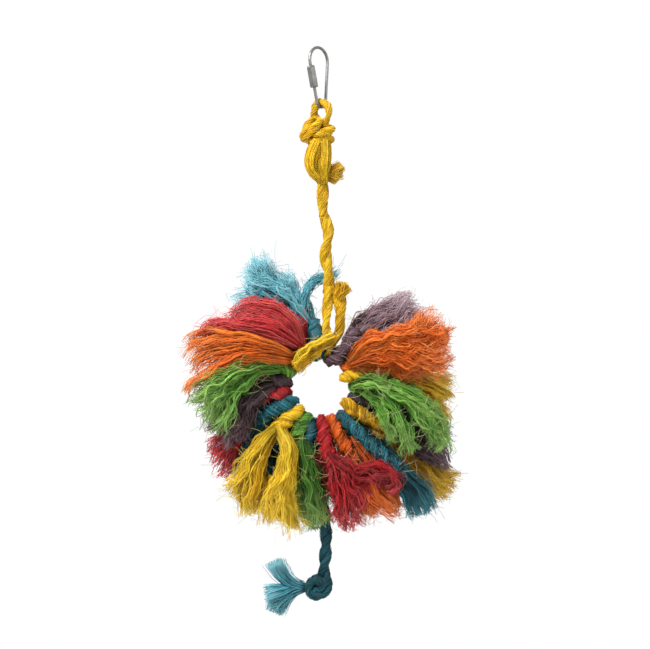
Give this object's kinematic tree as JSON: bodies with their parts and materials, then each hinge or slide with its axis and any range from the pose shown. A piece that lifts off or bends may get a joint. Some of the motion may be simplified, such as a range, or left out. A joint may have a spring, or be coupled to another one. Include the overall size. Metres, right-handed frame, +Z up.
{
  "type": "hanging bird preening toy",
  "caption": "Hanging preening toy for a pet bird: a wire ring ringed with dyed frayed sisal rope tassels, hung on a knotted rope from a wire quick link, with a knotted rope below.",
  "frame": {"origin": "inside of the top of the quick link's bow, where the bar or hook that carries the toy touches it", "axes": "+Z up along the hanging toy, -Y towards the viewer, +X to the viewer's right"},
  "size_m": [0.2001, 0.0534, 0.4041],
  "materials": {
    "sisal_yellow": "dyed sisal fibre, slightly glossy",
    "sisal_orange": "dyed sisal fibre, slightly glossy",
    "sisal_red": "dyed sisal fibre, slightly glossy",
    "sisal_teal": "dyed sisal fibre, slightly glossy",
    "sisal_green": "dyed sisal fibre, slightly glossy",
    "sisal_purple": "dyed sisal fibre, slightly glossy",
    "link_steel": "plain drawn wire",
    "core_wire": "plain wire"
  },
  "bodies": {
    "link": {"link_wire": "link_steel"},
    "nut": {"link_nut": "link_steel"},
    "hanger_top": {"hanger_eye": "sisal_yellow", "hanger_knot": "sisal_yellow", "hanger_neck": "sisal_yellow", "hanger_tail": "sisal_yellow"},
    "hanger_run": {"hanger_run": "sisal_yellow"},
    "hitch": {"hanger_hitch": "sisal_yellow", "hitch_tail": "sisal_yellow"},
    "ring": {"core_ring": "core_wire", "drop_loop": "sisal_teal", "hanger_end": "sisal_yellow", "tassel_01_purple_loop": "sisal_purple", "tassel_02_orange_loop": "sisal_orange", "tassel_03_yellow_loop": "sisal_yellow", "tassel_04_green_loop": "sisal_green", "tassel_05_purple_loop": "sisal_purple", "tassel_06_yellow_loop": "sisal_yellow", "tassel_07_teal_loop": "sisal_teal", "tassel_08_orange_loop": "sisal_orange", "tassel_09_red_loop": "sisal_red", "tassel_11_green_loop": "sisal_green", "tassel_12_yellow_loop": "sisal_yellow", "tassel_13_teal_loop": "sisal_teal", "tassel_14_red_loop": "sisal_red", "tassel_15_purple_loop": "sisal_purple", "tassel_16_green_loop": "sisal_green", "tassel_17_orange_loop": "sisal_orange", "tassel_18_red_loop": "sisal_red", "tassel_19_teal_loop": "sisal_teal"},
    "drop": {"drop_rope": "sisal_teal", "drop_knot": "sisal_teal", "drop_tuft": "sisal_teal"},
    "tassel_01_purple": {"tassel_01_purple_brush": "sisal_purple"},
    "tassel_02_orange": {"tassel_02_orange_brush": "sisal_orange"},
    "tassel_03_yellow": {"tassel_03_yellow_brush": "sisal_yellow"},
    "tassel_04_green": {"tassel_04_green_brush": "sisal_green"},
    "tassel_05_purple": {"tassel_05_purple_brush": "sisal_purple"},
    "tassel_06_yellow": {"tassel_06_yellow_brush": "sisal_yellow"},
    "tassel_07_teal": {"tassel_07_teal_brush": "sisal_teal"},
    "tassel_08_orange": {"tassel_08_orange_brush": "sisal_orange"},
    "tassel_09_red": {"tassel_09_red_brush": "sisal_red"},
    "tassel_11_green": {"tassel_11_green_brush": "sisal_green"},
    "tassel_12_yellow": {"tassel_12_yellow_brush": "sisal_yellow"},
    "tassel_13_teal": {"tassel_13_teal_brush": "sisal_teal"},
    "tassel_14_red": {"tassel_14_red_brush": "sisal_red"},
    "tassel_15_purple": {"tassel_15_purple_brush": "sisal_purple"},
    "tassel_16_green": {"tassel_16_green_brush": "sisal_green"},
    "tassel_17_orange": {"tassel_17_orange_brush": "sisal_orange"},
    "tassel_18_red": {"tassel_18_red_brush": "sisal_red"},
    "tassel_19_teal": {"tassel_19_teal_brush": "sisal_teal"}
  },
  "joints": [
    {"name": "nut_travel", "type": "slide", "parent": "link", "child": "nut", "axis": [0.1696, 0.1217, -0.978], "range_m": [0, 0.0078]},
    {"name": "eye_pivot", "type": "hinge", "parent": "link", "child": "hanger_top", "pos_m": [0.00255, 0, -0.04162], "axis": [0.6679, 0.7431, 0.0408], "range_deg": [-60, 60]},
    {"name": "rope_sway", "type": "hinge", "parent": "hanger_top", "child": "hanger_run", "pos_m": [0.00355, 0, -0.09852], "axis": [0, 1, 0], "range_deg": [-25, 25]},
    {"name": "ring_twist", "type": "hinge", "parent": "hanger_run", "child": "hitch", "pos_m": [0.00785, 0, -0.16752], "axis": [0, 0, 1], "range_deg": [-90, 90], "stiffness_Nm_per_rad": 0.01},
    {"name": "ring_nod", "type": "hinge", "parent": "hitch", "child": "ring", "pos_m": [0.00785, 0, -0.21572], "axis": [0.9744, 0, -0.225], "range_deg": [-30, 30]},
    {"name": "drop_sway", "type": "hinge", "parent": "ring", "child": "drop", "pos_m": [0.00573, 0, -0.35029], "axis": [0, 1, 0], "range_deg": [-40, 18]},
    {"name": "tassel_01_purple_lift", "type": "hinge", "parent": "ring", "child": "tassel_01_purple", "pos_m": [0.02533, 0, -0.20361], "axis": [-0.482, 0, 0.8762], "range_deg": [0, 15], "stiffness_Nm_per_rad": 0.05},
    {"name": "tassel_02_orange_lift", "type": "hinge", "parent": "ring", "child": "tassel_02_orange", "pos_m": [0.03642, 0, -0.21292], "axis": [0.0693, 0, -0.9976], "range_deg": [0, 15], "stiffness_Nm_per_rad": 0.05},
    {"name": "tassel_03_yellow_lift", "type": "hinge", "parent": "ring", "child": "tassel_03_yellow", "pos_m": [0.0441, 0, -0.22521], "axis": [0.5523, 0, 0.8337], "range_deg": [0, 15], "stiffness_Nm_per_rad": 0.05},
    {"name": "tassel_04_green_lift", "type": "hinge", "parent": "ring", "child": "tassel_04_green", "pos_m": [0.0476, 0, -0.23926], "axis": [-0.7745, 0, -0.6326], "range_deg": [0, 15], "stiffness_Nm_per_rad": 0.05},
    {"name": "tassel_05_purple_lift", "type": "hinge", "parent": "ring", "child": "tassel_05_purple", "pos_m": [0.04659, 0, -0.25371], "axis": [0.6777, 0, 0.7353], "range_deg": [0, 15], "stiffness_Nm_per_rad": 0.05},
    {"name": "tassel_06_yellow_lift", "type": "hinge", "parent": "ring", "child": "tassel_06_yellow", "pos_m": [0.04117, 0, -0.26714], "axis": [0.7443, 0, 0.6678], "range_deg": [0, 15], "stiffness_Nm_per_rad": 0.05},
    {"name": "tassel_07_teal_lift", "type": "hinge", "parent": "ring", "child": "tassel_07_teal", "pos_m": [0.03186, 0, -0.27824], "axis": [-0.7547, 0, -0.6561], "range_deg": [0, 15], "stiffness_Nm_per_rad": 0.05},
    {"name": "tassel_08_orange_lift", "type": "hinge", "parent": "ring", "child": "tassel_08_orange", "pos_m": [0.01957, 0, -0.28592], "axis": [0.811, 0, 0.5851], "range_deg": [0, 15], "stiffness_Nm_per_rad": 0.05},
    {"name": "tassel_09_red_lift", "type": "hinge", "parent": "ring", "child": "tassel_09_red", "pos_m": [0.00551, 0, -0.28942], "axis": [-0.8516, 0, -0.5242], "range_deg": [0, 15], "stiffness_Nm_per_rad": 0.05},
    {"name": "tassel_11_green_lift", "type": "hinge", "parent": "ring", "child": "tassel_11_green", "pos_m": [-0.02237, 0, -0.28298], "axis": [0.9704, 0, 0.2417], "range_deg": [0, 15], "stiffness_Nm_per_rad": 0.05},
    {"name": "tassel_12_yellow_lift", "type": "hinge", "parent": "ring", "child": "tassel_12_yellow", "pos_m": [-0.03346, 0, -0.27367], "axis": [-0.9896, 0, 0.1441], "range_deg": [0, 15], "stiffness_Nm_per_rad": 0.05},
    {"name": "tassel_13_teal_lift", "type": "hinge", "parent": "ring", "child": "tassel_13_teal", "pos_m": [-0.04114, 0, -0.26139], "axis": [0.9921, 0, -0.1258], "range_deg": [0, 15], "stiffness_Nm_per_rad": 0.05},
    {"name": "tassel_14_red_lift", "type": "hinge", "parent": "ring", "child": "tassel_14_red", "pos_m": [-0.04464, 0, -0.24733], "axis": [0.9446, 0, -0.3283], "range_deg": [0, 15], "stiffness_Nm_per_rad": 0.05},
    {"name": "tassel_15_purple_lift", "type": "hinge", "parent": "ring", "child": "tassel_15_purple", "pos_m": [-0.04363, 0, -0.23288], "axis": [0.8563, 0, -0.5165], "range_deg": [0, 15], "stiffness_Nm_per_rad": 0.05},
    {"name": "tassel_16_green_lift", "type": "hinge", "parent": "ring", "child": "tassel_16_green", "pos_m": [-0.03821, 0, -0.21945], "axis": [-0.6593, 0, 0.7519], "range_deg": [0, 15], "stiffness_Nm_per_rad": 0.05},
    {"name": "tassel_17_orange_lift", "type": "hinge", "parent": "ring", "child": "tassel_17_orange", "pos_m": [-0.0289, 0, -0.20835], "axis": [-0.3746, 0, 0.9272], "range_deg": [0, 15], "stiffness_Nm_per_rad": 0.05},
    {"name": "tassel_18_red_lift", "type": "hinge", "parent": "ring", "child": "tassel_18_red", "pos_m": [-0.01661, 0, -0.20068], "axis": [-0.0904, 0, 0.9959], "range_deg": [0, 15], "stiffness_Nm_per_rad": 0.05},
    {"name": "tassel_19_teal_lift", "type": "hinge", "parent": "ring", "child": "tassel_19_teal", "pos_m": [-0.00256, 0, -0.19717], "axis": [-0.6659, 0, -0.746], "range_deg": [0, 15], "stiffness_Nm_per_rad": 0.05}
  ]
}
